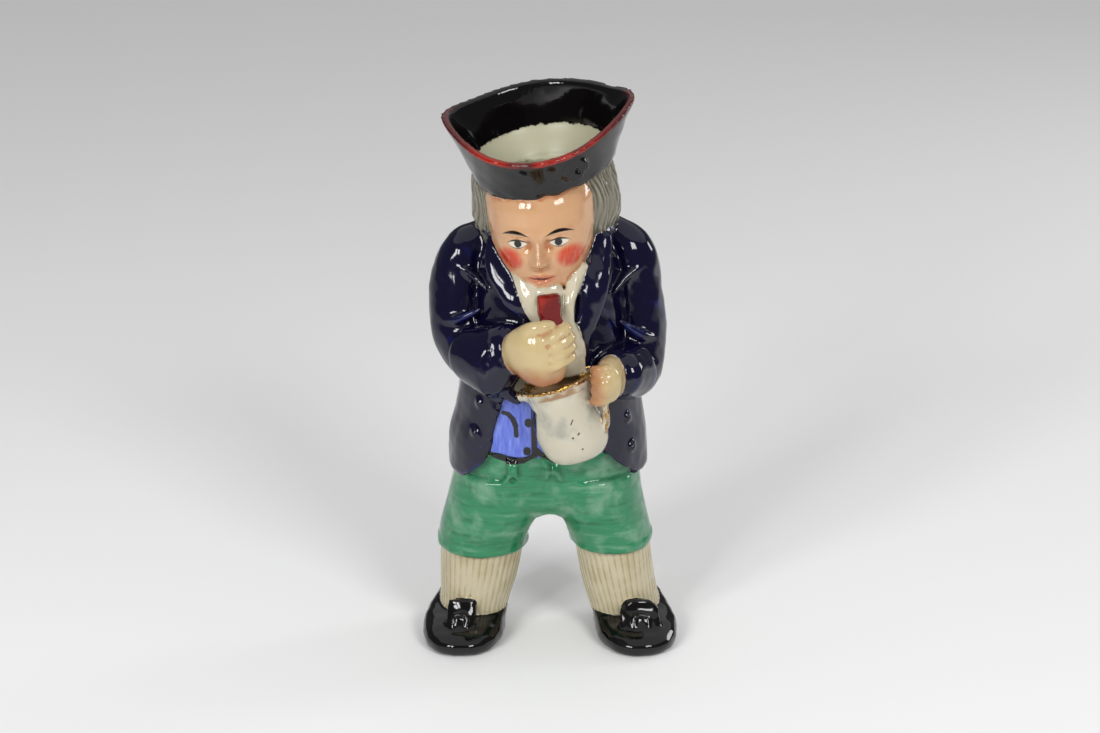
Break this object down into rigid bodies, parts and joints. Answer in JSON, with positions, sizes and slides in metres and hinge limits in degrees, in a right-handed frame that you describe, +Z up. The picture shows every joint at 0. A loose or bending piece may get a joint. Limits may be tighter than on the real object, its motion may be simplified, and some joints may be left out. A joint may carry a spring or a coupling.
{
  "type": "toby jug",
  "caption": "Standing figure jug of glazed earthenware: a man in a cocked hat that is the open mouth, holding a small pitcher, with a loop handle behind and a hollow body.",
  "frame": {"origin": "on the surface the jug stands on, under the middle of its bounding box", "axes": "+Z up, the figure faces -Y, +X is the figure's left hand, the handle is at +Y"},
  "size_m": [0.1208, 0.1228, 0.264],
  "materials": {
    "glazed_earthenware": "gloss glaze over hand-painted colours"
  },
  "bodies": {
    "root": {"toby_jug": "glazed_earthenware"}
  },
  "joints": []
}
